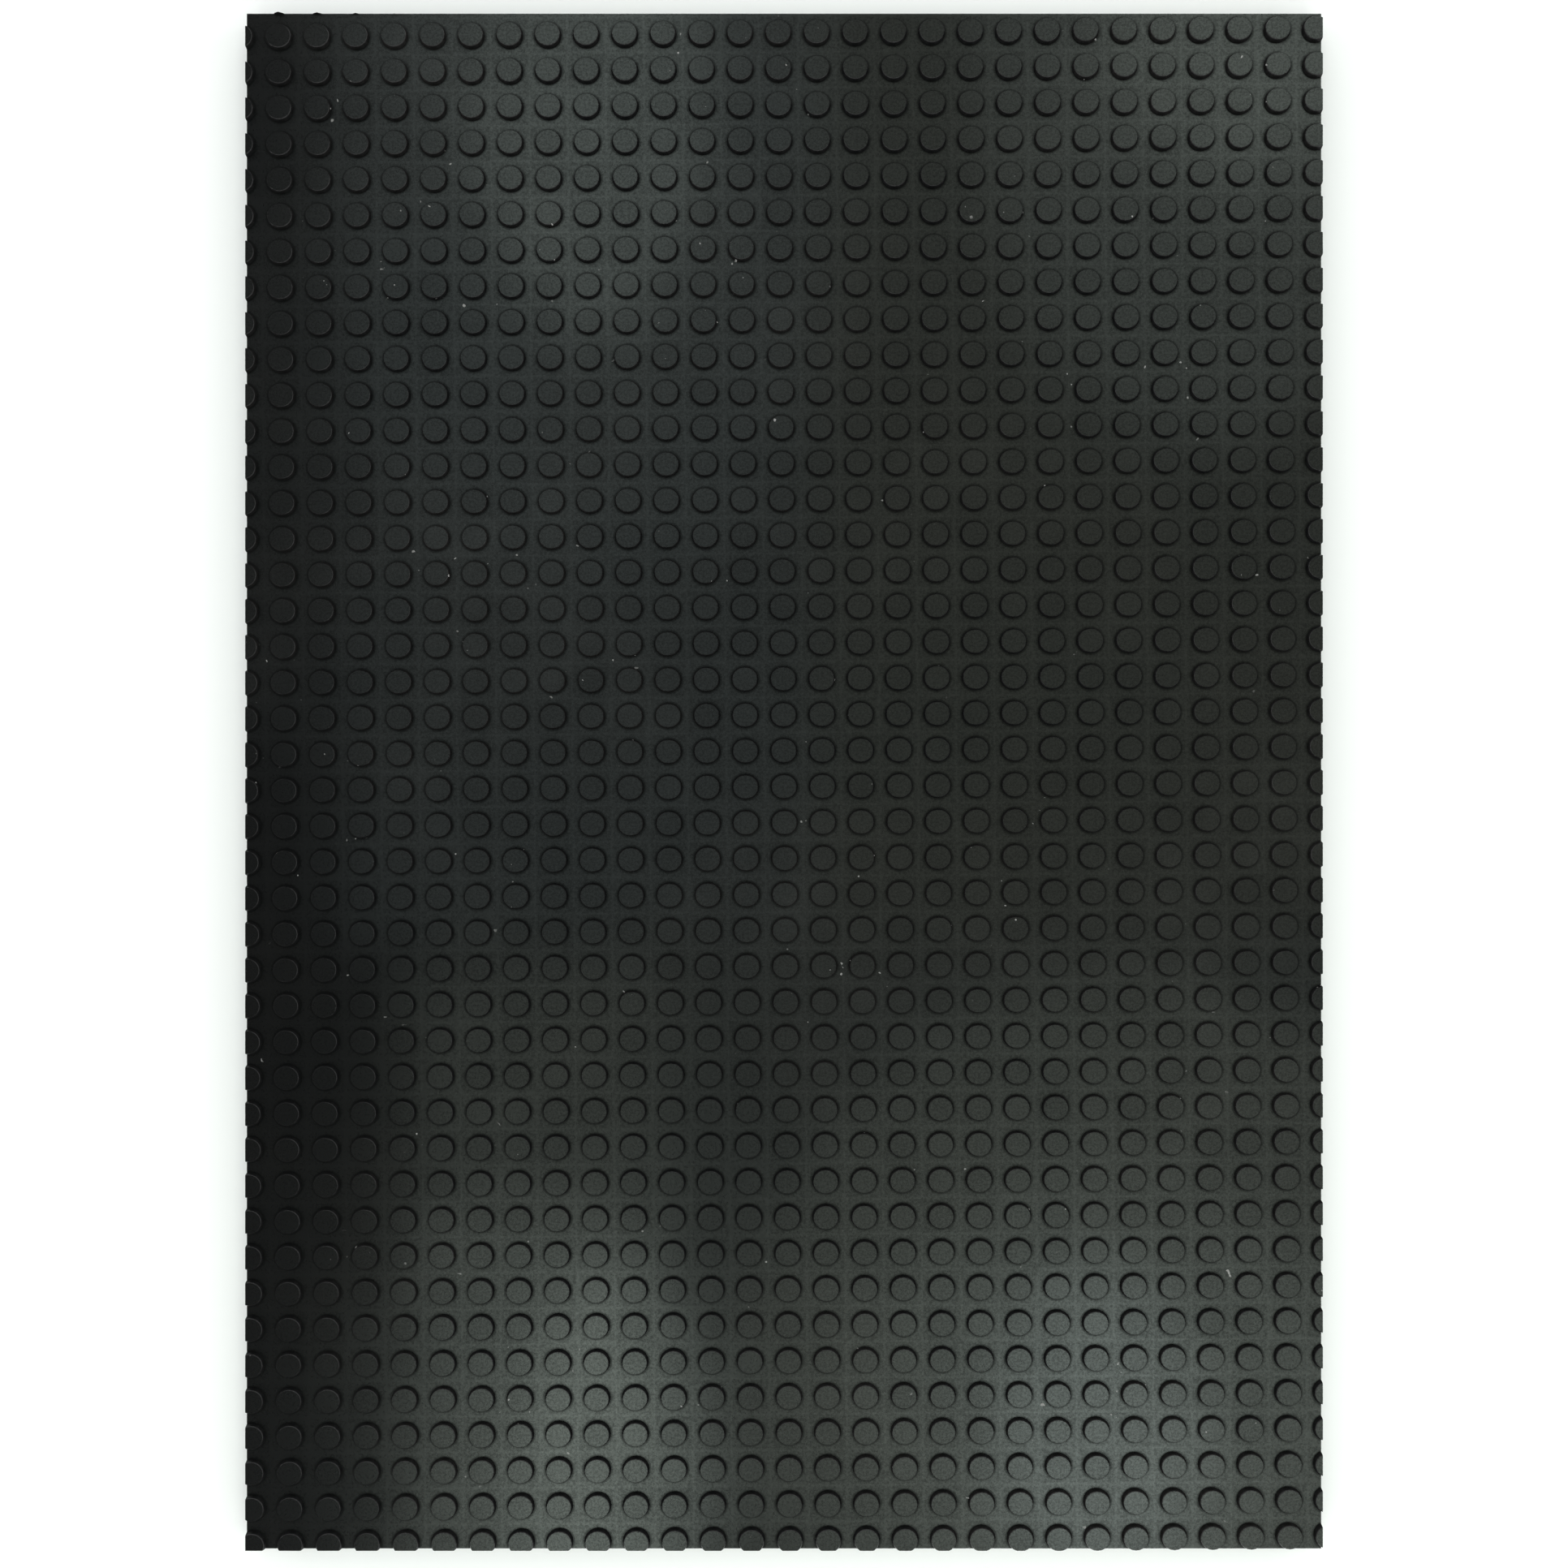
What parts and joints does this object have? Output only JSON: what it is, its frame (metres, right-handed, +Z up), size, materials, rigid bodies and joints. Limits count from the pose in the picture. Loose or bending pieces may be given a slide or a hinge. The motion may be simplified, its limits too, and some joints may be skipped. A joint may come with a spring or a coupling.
{
  "type": "seedling heat mat",
  "caption": "Flat black rubber heat mat with a round-stud top face, a heating cable between two bonded covers and a cord inlet in one short edge.",
  "frame": {"origin": "centre of the underside", "axes": "+Z up out of the studded face, +Y along the length away from the cord inlet, +X across the width"},
  "size_m": [0.7, 1, 0.016],
  "materials": {
    "top_rubber": "moulded, matt with a soft sheen",
    "bond_film": "cured adhesive film",
    "base_rubber": "cut edge, matt",
    "foam": "closed-cell foam",
    "glass_scrim": "woven glass",
    "foil": "rolled foil",
    "silicone": "silicone sheath",
    "resistance_wire": "drawn wire",
    "strip": "moulded silicone",
    "gland_rubber": "moulded",
    "junction_plastic": "moulded",
    "clamp_plastic": "moulded",
    "screw_steel": "zinc plated",
    "splice_metal": "tinned copper",
    "lead_metal": "tinned copper",
    "fuse_case": "drawn case",
    "glass_sleeve": "braided glass",
    "strap_copper": "copper strip"
  },
  "bodies": {
    "root": {"studded_cover": "top_rubber", "edge_bond": "bond_film", "base_cover": "base_rubber", "insulation_pad": "foam", "element_carrier": "glass_scrim", "heat_spreader": "foil", "heating_sheath": "silicone", "heating_core": "resistance_wire", "spacer_strip_1": "strip", "spacer_strip_2": "strip", "spacer_strip_3": "strip", "spacer_strip_4": "strip", "spacer_strip_5": "strip", "cable_gland": "gland_rubber", "junction_tray": "junction_plastic", "junction_lid": "junction_plastic", "cord_clamp": "clamp_plastic", "clamp_screws": "screw_steel", "live_crimp": "splice_metal", "earth_crimp": "splice_metal", "neutral_crimp": "splice_metal", "fuse_crimp": "splice_metal", "fuse_lead_in": "lead_metal", "fuse_lead_out": "lead_metal", "thermal_fuse": "fuse_case", "fuse_sleeve": "glass_sleeve", "earth_strap": "strap_copper"}
  },
  "joints": []
}
